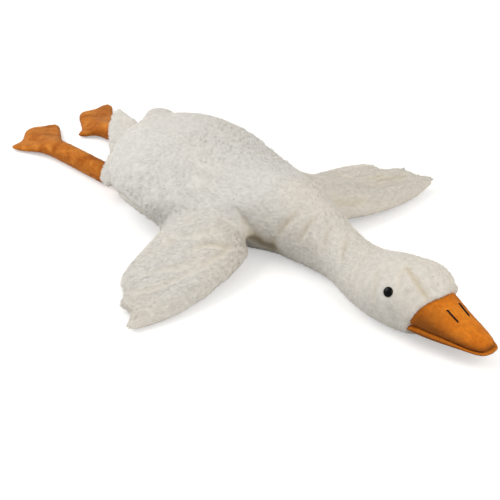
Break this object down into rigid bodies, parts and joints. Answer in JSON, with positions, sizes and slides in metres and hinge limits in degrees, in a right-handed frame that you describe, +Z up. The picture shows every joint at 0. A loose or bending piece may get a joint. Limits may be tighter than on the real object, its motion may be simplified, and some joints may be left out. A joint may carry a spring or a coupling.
{
  "type": "plush goose",
  "caption": "Long stuffed goose toy lying on its belly, neck stretched forward, wings spread, webbed feet trailing behind.",
  "frame": {"origin": "middle of the flat patch of belly that the toy rests on, on the floor", "axes": "-Y points to the bill, +Y to the feet, +X to the goose's left wing, +Z up"},
  "size_m": [0.8496, 1.3602, 0.1729],
  "materials": {
    "white_plush": "cream-white short plush pile",
    "orange_plush": "burnt-orange velvet-short plush",
    "eye_black": "gloss black",
    "washer_plastic": "plain moulded plastic",
    "black_thread": "black embroidery thread"
  },
  "bodies": {
    "root": {"goose_body": "white_plush", "right_wing": "white_plush", "left_wing": "white_plush", "tail": "white_plush", "right_leg": "orange_plush", "left_leg": "orange_plush", "upper_bill": "orange_plush", "lower_bill": "orange_plush", "right_eye": "eye_black", "left_eye": "eye_black", "right_eye_washer": "washer_plastic", "left_eye_washer": "washer_plastic", "right_nostril_stitch": "black_thread", "left_nostril_stitch": "black_thread"}
  },
  "joints": []
}
